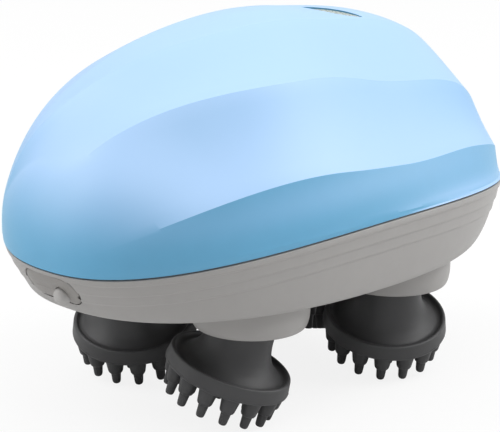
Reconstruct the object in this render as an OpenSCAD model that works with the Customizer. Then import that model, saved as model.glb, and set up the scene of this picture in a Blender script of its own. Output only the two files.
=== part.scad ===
// Handheld scalp massager: fluted dome, grey belly with four driven silicone
// heads that wobble on canted stems, all geared to one upright motor.
// Millimetres, +Z up, resting on the finger tips, button at the -X end.

/* [Body] */
// length of the shell at the seam
body_len = 136.2; // [130:1:142]
// width of the shell at the seam
body_wid = 84.2; // [80:1:88]
// height of the dome above the seam at mid length
dome_rise = 42; // [40:0.5:45]
// roundness power of the seam outline
seam_power = 2.275; // [2.1:0.05:2.5]
// how far the seam drops at the two ends
seam_bow = 6.3; // [5:0.1:7]
// rise of the seam from one end to the other
seam_tilt = 1.6; // [0:0.1:2]
// shell wall
wall = 2.2; // [1.8:0.1:2.4]
// depth of the flutes, as a factor of a flat facet
flute_depth = 1.2; // [0.6:0.1:1.5]

/* [Levels] */
// height of the belly above the collar edge
belly_up = 7.1; // [6.8:0.1:7.6]
// height of the seam above the collar edge
seam_up = 25.1; // [24.5:0.1:26]
// thickness of the seal between the two shells
seal_t = 0.5; // [0.4:0.1:0.8]

/* [Heads] */
// lean of every head on its spindle, degrees
lean = 17.3; // [15:0.1:18]
// radius of the head rim
rim_r = 14.6; // [14:0.1:14.8]
// radius of the silicone neck
neck_r = 7.6; // [7.2:0.1:8]
// outer fingers on each head
fingers_out = 14; // [10:1:16]
// inner fingers on each head
fingers_in = 7; // [5:1:8]
// length of an outer finger below the rim
finger_len = 8.2; // [7.5:0.1:8.4]
// lean direction of the near front head, degrees
phase_a = 122.7; // [110:1:135]
// lean direction of the near rear head, degrees
phase_b = 59; // [50:1:70]
// lean direction of the far front head, degrees
phase_c = 33.9; // [25:1:45]
// lean direction of the far rear head, degrees
phase_d = 230; // [220:1:240]

/* [Drive] */
// face width of the gears
gear_t = 5; // [4:0.5:5.5]
// tooth play at the pitch circle
backlash = 0.24; // [0.2:0.01:0.3]
// spindle diameter
spindle_d = 5; // [4:0.5:5]
// motor can diameter
motor_d = 24.4; // [22:0.2:25]
// motor can length
motor_len = 26; // [22:1:27]

/* [Button] */
// width of the button panel
panel_w = 18; // [16:0.5:20]
// height of the button panel
panel_h = 6.4; // [6:0.1:6.8]
// diameter of the power button
button_d = 4; // [3.6:0.1:4.4]
// button travel
button_travel = 0.6; // [0.5:0.1:0.8]

/* [Hidden] */
$fn = 48;
half_l = body_len / 2;
half_w = body_wid / 2;
drive_x = 0.6;
nx = 48;
strip_k = 4;
np = 2 * nx;
run = 0.05;
// gear train: pitches in a 7, 24, 25 triangle, module one at full width
coarse = body_wid / 84.2;
fine = 0.8 * coarse;
head_teeth = 24;
idler_teeth = 26;
pinion_teeth = 16;
wheel_teeth = 44;
spindle_x = 24 * coarse;
spindle_y = 20 * coarse;
// the head along its stem, measured from the pivot
rim_top = 13.35;
rim_bot = 16.7;
face_s = rim_bot - 0.3;
foot_sink = 0.3;
ring_out = rim_r - 2.4;
ring_in = 6.7;
foot_r = 2.45;
core_r = 5.2;
plate_r = 7.2;
plate_s = 12.6;
plate_t = 2.0;
soft_fit = 0.02;
// the finger tips set how high everything stands
tip_s = face_s + finger_len;
tip_drop = tip_s * cos(lean) + ring_out * sin(lean) * cos(180 / fingers_out);
pivot_up = 3.25;
pivot_z = tip_drop;
collar_z = pivot_z - pivot_up;
seam_z = collar_z + seam_up;
belly_z = collar_z + belly_up;
floor_z = belly_z + wall;
seal_in = 0.6;
seal_w = 1.0;
collar_r = 13.8;
cup_r = 12.2;
collar_round = 4.5;
spindle_r = spindle_d / 2;
hub_top = belly_z - 0.7;
bush_low = hub_top + run;
bush_r = 4.2;
bush_flange_r = 6;
bush_flange_t = 1.2;
gear_z = floor_z + bush_flange_t + run;
plate_z = gear_z + gear_t + 1.6;
gear_plate_t = 2.4;
arbor_r = 2;
idler_y = coarse * idler_teeth / 2;
wheel_z = plate_z + gear_plate_t + 2.2;
wheel_t = 3.2;
pinion_over = 0.2;
bracket_t = 1.6;
motor_y = fine * (pinion_teeth + wheel_teeth) / 2 - idler_y;
bracket_z = wheel_z + wheel_t + pinion_over + 0.8;
motor_z = bracket_z + bracket_t;
motor_shaft_r = 1;
post_r = 3.4;
screw_r = 1.25;
board_t = 1.2;
nose_x = -half_l;
panel_z = belly_z + 6.35;
panel_back = nose_x + 4.1;
button_y = -3.6;
button_z = panel_z - 0.9;
button_tip = nose_x + 0.4;
button_flange = panel_back + 0.6;
button_back = button_flange + 0.8;
flange_w = 0.7;
switch_x = button_back + button_travel + 1.6;
rail_t = 1.8;
rail_y = 8.9;
tail_x = half_l;
socket_z = belly_z + 7.2;
carrier_low = socket_z - 2.8;
boss_r = 3.4;
join_z = seam_z - 3.6;
board_half = 8.25;

// part to draw

// ---------- shape of the shells ----------

// signed power, the corner of a superellipse
function spow(v, e) = sign(v) * pow(abs(v), e);
// stations along the body, crowded at the two ends
function sta(j, a) = -a * cos(180 * j / nx);
// half width of the outline at x for half axes a and b
function wid(x, a, b) =
  b * pow(max(0, 1 - pow(min(1, abs(x) / a), seam_power)), 1 / seam_power);
// height of the seam at x
function seam_at(x) =
  seam_z + seam_tilt * x / body_len - seam_bow * pow(x / half_l, 2);
// blend from full nose to lean tail
function tail(x) = 1 / (1 + exp(-x / 15.8));
// profile power at x
function prof(x) = 2.325 * (1 - tail(x)) + 1.211 * tail(x);
// peak height of the section family at x
function peak(x, h) = h * (1 + 1.563 * pow(max(0, x - 7.1) / (half_l - 7.1), 2));
// clamp to 0..1 and smooth
function unit(v) = max(0, min(1, v));
function ease(v) = unit(v) * unit(v) * (3 - 2 * unit(v));

// section angle of the ridges: they sweep across the nose and run level aft
function low_ridge(x) = 20.5 + 8 * ease((x + 11.4) / 50);
function mid_ridge(x) =
  54 + 34.5 * pow(max(0, -11.4 - x) / 55, 2) + 8.6 * pow(max(0, -11.4 - x) / 55, 12);
function top_ridge(x) = min(160,
  80 + 33 * pow(max(0, 10.6 - x) / 70, 2) + 44 * pow(max(0, 10.6 - x) / 70, 12));
function far_ridge(x, f) = top_ridge(x) + (180 - top_ridge(x)) * f;
function ridges(x) = [
  0, low_ridge(x), mid_ridge(x), top_ridge(x),
  far_ridge(x, 0.2), far_ridge(x, 0.46), far_ridge(x, 0.72), 180
];
strips = 7;
strip_gain = [1, 1, 1, 0.5, 0.7, 0.8, 1];
mo = strips * strip_k;
mi = 14;

// point on the plain dome at station x and section angle q
function dome_pt(x, q, a, b, h) =
  let (
    t = min(1, abs(x) / a),
    tn = pow(t, seam_power),
    y = -wid(x, a, b) * spow(cos(q), 2 / seam_power),
    pl = pow(tn + (1 - tn) * pow(cos(q), 2), 1 / seam_power),
    m = prof(x),
    z = peak(x, h) * pow(max(0, 1 - pow(pl, m)), 1 / m),
    swell = 1 + 0.022 * exp(-pow((z - 6.3) / 6.3, 2)) * unit(z)
  )
  [x, y * swell, z];

// point on the fluted dome: strip i, fraction f across it
function flute_pt(x, i, f, a, b, h) =
  let (
    r = ridges(x),
    wide = r[i + 1] - r[i],
    q = r[i] + wide * f,
    fade = ease((x + 67.4) / 26),
    sink = flute_depth * strip_gain[i] * (1 - cos(wide / 2)) * (1 - pow(2 * f - 1, 2)) * fade,
    p = dome_pt(x, q, a, b, h)
  )
  [x, p[1] * (1 - sink), seam_at(x) + p[2] * (1 - sink)];

// inner skin of the dome
function inner_pt(x, q) =
  let (p = dome_pt(x, q, half_l - wall, half_w - wall, dome_rise - wall - 1.2))
  [x, p[1] * 0.985, seam_at(x) + p[2]];

// station j of the outer or inner skin, k up the section
function outer_at(j, k) =
  flute_pt(sta(j, half_l), min(strips - 1, floor(k / strip_k)),
           k / strip_k - min(strips - 1, floor(k / strip_k)), half_l, half_w, dome_rise);
function inner_at(j, k) = inner_pt(sta(j, half_l - wall), 180 * k / mi);

// a closed shell: outer grid, inner grid and the rim between them
module thick_dome() {
  outer = [for (j = [1:nx - 1]) for (k = [0:mo]) outer_at(j, k)];
  inner = [for (j = [1:nx - 1]) for (k = [0:mi]) inner_at(j, k)];
  no = (nx - 1) * (mo + 1);
  ni = (nx - 1) * (mi + 1);
  fo = no + ni;
  xo = half_l;
  xi = half_l - wall;
  poles = [
    [-xo, 0, seam_at(-xo)],
    [xo, 0, seam_at(xo)],
    [-xi, 0, seam_at(-xi)],
    [xi, 0, seam_at(xi)]
  ];
  skin_o = [for (j = [0:nx - 3]) for (k = [0:mo - 1]) let (p = j * (mo + 1) + k)
    each [[p, p + 1, p + mo + 2], [p, p + mo + 2, p + mo + 1]]];
  skin_i = [for (j = [0:nx - 3]) for (k = [0:mi - 1]) let (p = no + j * (mi + 1) + k)
    each [[p, p + mi + 2, p + 1], [p, p + mi + 1, p + mi + 2]]];
  last_o = (nx - 2) * (mo + 1);
  last_i = no + (nx - 2) * (mi + 1);
  caps = concat(
    [for (k = [0:mo - 1]) [fo, k + 1, k]],
    [for (k = [0:mo - 1]) [fo + 1, last_o + k, last_o + k + 1]],
    [for (k = [0:mi - 1]) [fo + 2, no + k, no + k + 1]],
    [for (k = [0:mi - 1]) [fo + 3, last_i + k + 1, last_i + k]]);
  rim_near = [for (j = [0:nx - 3]) let (a = j * (mo + 1), b = no + j * (mi + 1))
    each [[a, a + mo + 1, b], [a + mo + 1, b + mi + 1, b]]];
  rim_far = [for (j = [0:nx - 3]) let (a = j * (mo + 1) + mo, b = no + j * (mi + 1) + mi)
    each [[a, b, a + mo + 1], [a + mo + 1, b, b + mi + 1]]];
  rim_ends = [
    [fo, 0, fo + 2], [0, no, fo + 2],
    [fo, fo + 2, mo], [mo, fo + 2, no + mi],
    [fo + 1, fo + 3, last_o], [last_o, fo + 3, last_i],
    [fo + 1, last_o + mo, fo + 3], [last_o + mo, last_i + mi, fo + 3]
  ];
  polyhedron(
    points = concat(outer, inner, poles),
    faces = concat(skin_o, skin_i, caps, rim_near, rim_far, rim_ends),
    convexity = 8);
}

// one closed loop round the body, inset by e, counter-clockwise from above
function loop_x(i, a) = sta(i <= nx ? i : np - i, a);
function ring_pt(i, e) =
  let (x = loop_x(i, half_l - e))
  [x, (i <= nx ? -1 : 1) * wid(x, half_l - e, half_w - 0.8 * e)];
// the loop at depth d under the seam, then fraction f of the way to the belly
function ring_down(e, d, f) =
  [for (i = [0:np - 1]) let (p = ring_pt(i, e), z = seam_at(p[0]) - d)
    [p[0], p[1], z + f * (belly_z - z)]];
function ring_drop(e, d) = ring_down(e, d, 0);
function ring_flat(e, z) =
  [for (i = [0:np - 1]) let (p = ring_pt(i, e)) [p[0], p[1], z]];
// faces between loop a and loop b, a being the upper or outer one
function side(a, b) = [for (i = [0:np - 1])
  let (k = (i + 1) % np, p = a * np + i, q = a * np + k, r = b * np + i, s = b * np + k)
  each [[p, q, r], [q, s, r]]];

// outside of the grey bowl: three fine steps under the seam, then a tuck
tuck = 8.05;
function bowl_loops(e) = [
  ring_drop(e, seal_t), ring_drop(e + 0.15, 2.1), ring_drop(e + 0.5, 2.35),
  ring_drop(e + 0.75, 5.0), ring_drop(e + 1.1, 5.25), ring_drop(e + 1.55, 7.8),
  ring_drop(e + 1.9, tuck), ring_down(e + 2.6, tuck, 0.35),
  ring_down(e + 3.5, tuck, 0.65), ring_down(e + 4.4, tuck, 0.85),
  ring_down(e + 5.2, tuck, 0.96), ring_flat(e + 6.4, belly_z)
];
// inside of the bowl, from the floor up
function cavity_loops() = [
  ring_flat(9.5, floor_z), ring_down(7.2, tuck + wall, 0.3),
  ring_drop(4.4, tuck), ring_drop(wall, seal_t)
];
function fan_down(a, c) = [for (i = [0:np - 1]) [a * np + i, a * np + (i + 1) % np, c]];
function fan_up(a, c) = [for (i = [0:np - 1]) [a * np + (i + 1) % np, a * np + i, c]];
function flat_list(loops) = [for (l = loops) each l];

module bowl() {
  outer = bowl_loops(0);
  n = len(outer);
  m = n + len(cavity_loops());
  polyhedron(
    points = concat(flat_list(outer), flat_list(cavity_loops()),
                    [[0, 0, belly_z], [0, 0, floor_z]]),
    faces = concat(
      [for (a = [0:m - 2]) if (a != n - 1) each side(a, a + 1)],
      side(m - 1, 0), fan_down(n - 1, m * np), fan_up(n, m * np + 1)),
    convexity = 8);
}

// the bowl without its hollow, e inside the real outline
module bowl_block(e) {
  outer = bowl_loops(e);
  n = len(outer);
  polyhedron(
    points = concat(flat_list(outer), [[0, 0, belly_z], [0, 0, seam_z - 3]]),
    faces = concat([for (a = [0:n - 2]) each side(a, a + 1)],
                   fan_down(n - 1, n * np), fan_up(0, n * np + 1)),
    convexity = 8);
}

// ---------- shared helpers ----------

function head_x(i) = drive_x + [-spindle_x, spindle_x, -spindle_x, spindle_x][i];
function head_y(i) = [-spindle_y, -spindle_y, spindle_y, spindle_y][i];
function head_q(i) = [phase_a, phase_b, phase_c, phase_d][i];

// upright place of head i, for collars, bushes and screws
module at_head(i) {
  translate([head_x(i), head_y(i), 0])
    children();
}

// place of the canted parts of head i, local +Z pointing down the stem
module on_stem(i) {
  translate([head_x(i), head_y(i), pivot_z])
    rotate([0, 0, head_q(i)])
      rotate([0, 180 - lean, 0])
        children();
}

// involute of the base circle at radius ratio c = base / radius, degrees
function inv_deg(c) = tan(acos(c)) * 180 / PI - acos(c);
// half tooth angle at radius q for pitch radius r
function half_tooth(q, r, n) =
  90 / n - backlash / (2 * r) * 180 / PI / 2 + inv_deg(cos(20)) - inv_deg(min(1, r * cos(20) / q));
// outline of one tooth: root, rising flank, falling flank, root
function tooth_pts(root, low, tip, r, n, steps) = concat(
  [[root, -half_tooth(low, r, n)]],
  [for (s = [0:steps]) let (q = low + (tip - low) * s / steps) [q, -half_tooth(q, r, n)]],
  [for (s = [steps:-1:0]) let (q = low + (tip - low) * s / steps) [q, half_tooth(q, r, n)]],
  [[root, half_tooth(low, r, n)]]);
// outline of a spur gear with n teeth of module m, a tooth on its +X line
module gear_2d(n, m) {
  r = n * m / 2;
  root = r - 1.2 * m;
  low = max(r * cos(20), root + 0.05 * m);
  tip = r + 0.95 * m;
  polygon([for (i = [0:n - 1]) for (p = tooth_pts(root, low, tip, r, n, 4))
    p[0] * [cos(p[1] + 360 * i / n), sin(p[1] + 360 * i / n)]]);
}

// phase of a gear meshing at bearing w with a driver of phase p, both in degrees
function mesh_phase(w, p, nd, n) =
  w + 180 + (w - p) * nd / n - 180 / n;

// height of the dome skin over a point of the plan
function skin_z(x, y) =
  let (
    pl = pow(pow(abs(x) / half_l, seam_power) + pow(abs(y) / half_w, seam_power),
             1 / seam_power),
    m = prof(x)
  )
  seam_at(x) + peak(x, dome_rise) * pow(max(0, 1 - pow(pl, m)), 1 / m);

// lens frame: on the crest just above the top ridge, turned across the body
lens_x = 17;
lens_y = -6.4;
lens_turn = -19;
lens_len = 15.6;
lens_wid = 4.8;
lens_sink = 0.95;
lens_t = 4.1;
module at_lens() {
  dx = (skin_z(lens_x + 2, lens_y) - skin_z(lens_x - 2, lens_y)) / 4;
  dy = (skin_z(lens_x, lens_y + 1) - skin_z(lens_x, lens_y - 1)) / 2;
  translate([lens_x, lens_y, skin_z(lens_x, lens_y) - lens_sink])
    rotate([atan(dy), -atan(dx), lens_turn])
      children();
}
// pointed oval between two arcs
module leaf(l, w) {
  r = (l * l / 4 + w * w / 4) / w;
  intersection() {
    translate([0, r - w / 2])
      circle(r = r, $fn = 180);
    translate([0, w / 2 - r])
      circle(r = r, $fn = 180);
  }
}

// pill outline, w wide and h high
module pill(w, h) {
  square([w - h, h], center = true);
  for (s = [-1, 1])
    translate([s * (w - h) / 2, 0])
      circle(d = h);
}
// plain rectangle with round corners
module soft_rect(w, h, r) {
  square([w - 2 * r, h], center = true);
  square([w, h - 2 * r], center = true);
  for (sx = [-1, 1])
    for (sy = [-1, 1])
      translate([sx * (w / 2 - r), sy * (h / 2 - r)])
        circle(r = r);
}
// local +Z pointing into the body from the front panel
module from_front(x, y, z) {
  translate([x, y, z])
    rotate([0, 90, 0])
      children();
}

post_y = half_w - 11.1;
plate_posts = [[nose_x + 24.1, 0], [tail_x - 23.5, 0], [0, post_y], [0, -post_y]];
boss_y = half_w * 0.404;
shell_posts = [[nose_x + 14.4, 0], [tail_x - 17.5, boss_y], [tail_x - 17.5, -boss_y]];
module at_points(list) {
  for (p = list)
    translate([p[0], p[1], 0])
      children();
}

// ---------- shells ----------

module top_shell() {
  color([0.55, 0.74, 0.9])
  difference() {
    union() {
      thick_dome();
      for (p = shell_posts)
        translate([p[0], p[1], join_z])
          cylinder(h = skin_z(p[0], p[1]) - join_z - 6.2, r = boss_r);
    }
    at_lens()
      translate([0, 0, -8])
        linear_extrude(height = 12)
          leaf(lens_len + 0.1, lens_wid + 0.1);
    at_points(shell_posts)
      translate([0, 0, join_z - 1])
        cylinder(h = 11, r = screw_r);
  }
}

// cup under the belly round each head stem
module collar() {
  h = belly_up + 0.6;
  n = 6;
  rotate_extrude($fn = 96)
    polygon(concat(
      [[cup_r, h], [cup_r, 0.5], [cup_r + 0.4, 0]],
      [for (i = [0:n]) let (w = 90 * i / n)
        [collar_r - collar_round * 0.28 * (1 - sin(w)), collar_round * (1 - cos(w))]],
      [[collar_r, h]]));
}

module lower_shell() {
  color([0.62, 0.62, 0.61])
  difference() {
    union() {
      bowl();
      for (i = [0:3])
        translate([0, 0, collar_z])
          at_head(i)
            collar();
      translate([0, 0, floor_z - 1])
        at_points(plate_posts)
          cylinder(h = plate_z - floor_z + 1, r = post_r);
      translate([0, 0, floor_z - 1])
        at_points(shell_posts)
          cylinder(h = join_z - floor_z + 1, r = boss_r);
      for (s = [-1, 1])
        translate([switch_x - 1.1, s * rail_y - rail_t / 2, belly_z + 2])
          cube([board_t + 2.4, rail_t, 9]);
      for (s = [-1, 1])
        translate([tail_x - 11.9, s * 5 - 1, floor_z - 1])
          cube([3, 2, carrier_low - floor_z + 1]);
    }
    for (i = [0:3])
      translate([0, 0, belly_z - 1])
        at_head(i)
          cylinder(h = wall + 2, r = bush_r);
    translate([0, 0, plate_z - 6])
      at_points(plate_posts)
        cylinder(h = 7, r = screw_r);
    translate([0, 0, belly_z - 1])
      at_points(shell_posts)
        cylinder(h = 20, r = screw_r + 0.2);
    translate([0, 0, belly_z - 1])
      at_points(shell_posts)
        cylinder(h = 4, r = 2.6);
    translate([switch_x, -board_half - 0.05, belly_z + 2.6])
      cube([board_t + 0.1, 2 * board_half + 0.1, 10]);
    from_front(nose_x - 3, 0, panel_z)
      rotate([0, 0, 90])
        linear_extrude(height = 10)
          pill(panel_w, panel_h);
    from_front(panel_back, button_y, button_z)
      cylinder(h = 3, r = button_d / 2 + flange_w + 0.1);
    translate([tail_x - 7.5, 0, socket_z])
      rotate([90, 0, 90])
        linear_extrude(height = 10)
          pill(9.1, 3.3);
  }
}

module seam_seal() {
  g = 0.02;
  loops = [
    ring_drop(seal_in, g), ring_drop(seal_in, seal_t - g),
    ring_drop(seal_in + seal_w, seal_t - g), ring_drop(seal_in + seal_w, g)
  ];
  color([0.2, 0.22, 0.24])
  polyhedron(
    points = flat_list(loops),
    faces = [for (a = [0:3]) each side(a, (a + 1) % 4)],
    convexity = 8);
}

module indicator_lens() {
  color([0.75, 0.8, 0.76])
  at_lens()
    translate([0, 0, -lens_t])
      linear_extrude(height = lens_t)
        leaf(lens_len, lens_wid);
}

module light_board() {
  color([0.1, 0.35, 0.2])
  at_lens()
    translate([0, 0, -lens_t - board_t]) {
      linear_extrude(height = board_t)
        soft_rect(16, 7, 1);
      translate([0, 0, board_t - 2.4])
        cylinder(h = 2, r = 1.4);
    }
}

// ---------- button ----------

module button_panel() {
  color([0.56, 0.55, 0.54])
  difference() {
    intersection() {
      bowl_block(0.3);
      from_front(nose_x - 3, 0, panel_z)
        rotate([0, 0, 90])
          linear_extrude(height = panel_back - nose_x + 3)
            pill(panel_w - 0.1, panel_h - 0.1);
    }
    from_front(nose_x - 3, button_y, button_z)
      cylinder(h = 10, r = button_d / 2 + run);
  }
}

module power_button() {
  r = button_d / 2;
  color([0.66, 0.66, 0.65])
  from_front(button_tip, button_y, button_z)
    rotate_extrude()
      polygon([
        [0, 0], [r * 0.45, 0.12], [r * 0.8, 0.42], [r * 0.97, 0.85], [r, 1.3],
        [r, button_flange - button_tip], [r + flange_w, button_flange - button_tip],
        [r + flange_w, button_back - button_tip], [0, button_back - button_tip]
      ]);
}

module switch_board() {
  color([0.1, 0.35, 0.2]) {
    translate([switch_x + 0.05, -board_half, belly_z + 2.65])
      cube([board_t, 2 * board_half, 8.2]);
    translate([switch_x - 1.05, button_y - 2.2, button_z - 2.2])
      cube([1.15, 4.4, 4.4]);
    from_front(button_back + button_travel + 0.03, button_y, button_z)
      cylinder(h = 1, r = 1.1);
  }
}

// ---------- heads ----------

// one finger: broad foot, step, slim rounded tip
module finger(l, r) {
  rotate_extrude($fn = 24)
    polygon([
      [0, 0], [r, 0], [r * 0.62, l * 0.56], [r * 0.42, l * 0.6],
      [r * 0.34, l * 0.92], [r * 0.22, l * 0.98], [0, l]
    ]);
}

module head_body() {
  rotate_extrude($fn = 96)
    polygon([
      [0, -1.2], [neck_r - 0.6, -1.2], [neck_r - 0.1, -0.6], [neck_r - 0.1, 2.4],
      [neck_r + 0.1, 4.6], [neck_r + 0.7, 6.8], [neck_r + 1.8, 8.9], [neck_r + 3.3, 10.7],
      [neck_r + 4.9, 12.1], [rim_r - 1.3, rim_top - 0.35], [rim_r - 1.0, rim_top - 0.35],
      [rim_r - 0.35, rim_top], [rim_r, rim_top + 0.7], [rim_r, rim_bot - 0.5],
      [rim_r - 0.4, rim_bot], [rim_r - 1.1, rim_bot], [rim_r - 1.5, face_s], [0, face_s]
    ]);
}

module silicone(i) {
  color([0.27, 0.27, 0.28])
  difference() {
    on_stem(i) {
      head_body();
      for (k = [0:fingers_out - 1])
        rotate([0, 0, 360 * (k + 0.5) / fingers_out])
          translate([ring_out, 0, face_s - foot_sink])
            finger(finger_len + foot_sink, foot_r);
      for (k = [0:fingers_in - 1])
        rotate([0, 0, 360 * k / fingers_in])
          translate([ring_in, 0, face_s - foot_sink])
            finger(finger_len - 0.4, foot_r - 0.25);
      translate([0, 0, face_s - foot_sink])
        finger(finger_len - 0.6, foot_r - 0.25);
    }
    on_stem(i) {
      translate([0, 0, -3])
        cylinder(h = plate_s + 3.1, r = core_r + soft_fit);
      translate([0, 0, plate_s - soft_fit])
        cylinder(h = plate_t + 2 * soft_fit, r = plate_r + soft_fit);
    }
    translate([0, 0, collar_z + 1.4])
      at_head(i)
        cylinder(h = 8, r = core_r + soft_fit);
  }
}

module core(i) {
  color([0.35, 0.36, 0.38])
  difference() {
    union() {
      on_stem(i) {
        translate([0, 0, -0.4])
          cylinder(h = plate_s + 0.6, r = core_r);
        translate([0, 0, plate_s])
          cylinder(h = plate_t, r = plate_r);
      }
      translate([0, 0, collar_z + 1.5])
        at_head(i)
          cylinder(h = hub_top - collar_z - 1.5, r = core_r);
    }
    translate([0, 0, collar_z + 0.5])
      at_head(i)
        cylinder(h = 10, r = spindle_r);
  }
}

spindle_top = plate_z + gear_plate_t - 0.4;
module spindle(i) {
  color([0.75, 0.76, 0.78])
  translate([0, 0, collar_z + 0.5])
    at_head(i)
      union() {
        cylinder(h = spindle_top - collar_z - 1.0, r = spindle_r);
        translate([0, 0, spindle_top - collar_z - 1.0])
          cylinder(h = 0.5, r1 = spindle_r, r2 = spindle_r - 0.5);
      }
}

// gear hub with a bore, standing on the bush flange
module bored_gear(n, m, t, bore) {
  difference() {
    linear_extrude(height = t)
      gear_2d(n, m);
    translate([0, 0, -1])
      cylinder(h = t + 2, r = bore);
  }
}

// bearing of head i from its idler, and the phase its gear needs
function idler_of(i) = i < 2 ? -1 : 1;
function bear(i) = atan2(head_y(i) - idler_of(i) * idler_y, head_x(i) - drive_x);
idler_a_phase = 90;
function idler_phase(i) =
  i < 2 ? idler_a_phase : mesh_phase(90, idler_a_phase, idler_teeth, idler_teeth);
module output_gear(i) {
  color([0.93, 0.92, 0.88])
  translate([0, 0, gear_z])
    at_head(i)
      rotate([0, 0, mesh_phase(bear(i), idler_phase(i), idler_teeth, head_teeth)])
        difference() {
          union() {
            linear_extrude(height = gear_t)
              gear_2d(head_teeth, coarse);
            cylinder(h = plate_z - gear_z - 0.2, r = 5);
          }
          translate([0, 0, -1])
            cylinder(h = gear_t + 4, r = spindle_r);
        }
}

module spindle_bushes() {
  color([0.72, 0.55, 0.3])
  for (i = [0:3])
    translate([0, 0, bush_low])
      at_head(i)
        difference() {
          union() {
            cylinder(h = floor_z - bush_low + bush_flange_t, r = bush_r);
            translate([0, 0, floor_z - bush_low])
              cylinder(h = bush_flange_t, r = bush_flange_r);
          }
          translate([0, 0, -1])
            cylinder(h = 8, r = spindle_r + run);
        }
}

// ---------- gear train ----------

module idler(s, phase) {
  color([0.93, 0.92, 0.88])
  translate([drive_x, s * idler_y, gear_z])
    rotate([0, 0, phase])
      bored_gear(idler_teeth, coarse, gear_t, arbor_r);
}
module idler_a() {
  idler(-1, idler_phase(0));
}
module idler_b() {
  idler(1, idler_phase(2));
}

// arbors run in blind seats in the floor and holes in the gear plate
arbor_low = floor_z + 0.05;
module arbor(s, top) {
  color([0.75, 0.76, 0.78])
  translate([drive_x, s * idler_y, arbor_low])
    cylinder(h = top - arbor_low, r = arbor_r);
}
module idler_a_shaft() {
  arbor(-1, wheel_z + wheel_t + 0.6);
}
module idler_b_shaft() {
  arbor(1, plate_z + gear_plate_t - 0.3);
}

wheel_phase = 90;
module drive_wheel() {
  color([0.93, 0.92, 0.88])
  translate([drive_x, -idler_y, wheel_z])
    rotate([0, 0, wheel_phase])
      bored_gear(wheel_teeth, fine, wheel_t, arbor_r);
}

// plate carrying the top ends of the shafts, the battery and the board
pcb_low = drive_x + 20;
pcb_high = tail_x - 21.5;
pcb_x = (pcb_low + pcb_high) / 2;
pcb_len = pcb_high - pcb_low;
pcb_post = pcb_len / 2 - 2;
pcb_up = 3;
module gear_plate() {
  color([0.85, 0.85, 0.84])
  difference() {
    union() {
      translate([0, 0, plate_z]) {
        linear_extrude(height = gear_plate_t) {
          soft_rect(body_len - 38.2, 2.6 * spindle_y, 8);
          soft_rect(16, body_wid - 15.2, 5);
        }
        for (x = [-pcb_post, pcb_post])
          for (y = [-13, 13])
            translate([pcb_x + x, y, 1])
              cylinder(h = gear_plate_t - 1 + pcb_up, r = 1.9);
        for (x = [-pcb_post, pcb_post])
          for (y = [-13, 13])
            translate([pcb_x + x, y, 1])
              cylinder(h = gear_plate_t + pcb_up + 1.2, r = 0.9);
      }
      for (x = [-1, 1])
        translate([drive_x + x * 17, motor_y, plate_z + 1])
          cylinder(h = bracket_z - plate_z - 1, r = 2.6);
    }
    for (i = [0:3])
      translate([0, 0, plate_z - 1])
        at_head(i)
          cylinder(h = 6, r = spindle_r + run);
    translate([0, 0, plate_z - 1])
      at_points(shell_posts)
        cylinder(h = 6, r = boss_r + 0.6);
    for (s = [-1, 1])
      translate([drive_x, s * idler_y, plate_z - 1])
        cylinder(h = 6, r = arbor_r + run);
    translate([0, 0, plate_z - 1])
      at_points(plate_posts)
        cylinder(h = 6, r = screw_r + 0.2);
    for (x = [-1, 1])
      translate([drive_x + x * 17, motor_y, bracket_z - 8])
        cylinder(h = 9, r = 0.8);
  }
}

module motor_bracket() {
  color([0.7, 0.71, 0.73])
  translate([drive_x, motor_y, bracket_z])
    difference() {
      linear_extrude(height = bracket_t)
        soft_rect(38.4, 20, 3);
      translate([0, 0, -1])
        cylinder(h = 4, r = 3.6);
      for (x = [-1, 1])
        translate([x * 17, 0, -1])
          cylinder(h = 4, r = 1);
    }
}

module motor() {
  color([0.7, 0.71, 0.73])
  translate([drive_x, motor_y, motor_z])
    difference() {
      union() {
        cylinder(h = motor_len - 3, d = motor_d);
        translate([0, 0, motor_len - 3])
          cylinder(h = 2, r1 = motor_d / 2, r2 = motor_d / 2 - 2);
        translate([0, 0, motor_len - 1])
          cylinder(h = 1, r = 4);
        for (s = [-1, 1])
          translate([s * 7 - 0.3, -1.4, motor_len - 1.5])
            cube([0.6, 2.8, 4]);
        translate([0, 0, -bracket_t + 0.1])
          cylinder(h = bracket_t, r = 3.55);
      }
      translate([0, 0, -3])
        cylinder(h = 12, r = motor_shaft_r + run);
    }
}

module motor_pinion() {
  r = pinion_teeth * fine / 2;
  color([0.72, 0.55, 0.3])
  translate([drive_x, motor_y, wheel_z - pinion_over]) {
    rotate([0, 0, mesh_phase(90, wheel_phase, wheel_teeth, pinion_teeth)])
      linear_extrude(height = wheel_t + 2 * pinion_over)
        gear_2d(pinion_teeth, fine);
    cylinder(h = motor_z + 8 - wheel_z, r = motor_shaft_r);
  }
}

// ---------- power ----------

cell_d = 18.4;
cell_len = 50;
cell_x = nose_x + 37.1;
cradle_z = plate_z + gear_plate_t;
cell_z = cradle_z + 1 + cell_d / 2;
module battery() {
  color([0.2, 0.35, 0.6])
  translate([cell_x, 0, cell_z])
    rotate([90, 0, 0])
      union() {
        translate([0, 0, -cell_len / 2])
          cylinder(h = cell_len - 1.4, d = cell_d);
        translate([0, 0, cell_len / 2 - 1.5])
          cylinder(h = 1.5, r = 3);
      }
}

module battery_cradle() {
  color([0.3, 0.3, 0.31])
  difference() {
    union() {
      translate([cell_x - 8, -cell_len / 2 - 1.6, cradle_z])
        cube([16, cell_len + 3.2, 4]);
      for (s = [-1, 1])
        translate([cell_x - 8, s * (cell_len / 2 + 0.8) - 0.8, cradle_z])
          cube([16, 1.6, 12]);
    }
    translate([cell_x, 0, cell_z])
      rotate([90, 0, 0])
        translate([0, 0, -cell_len / 2])
          cylinder(h = cell_len, d = cell_d + 0.04);
  }
}

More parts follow.
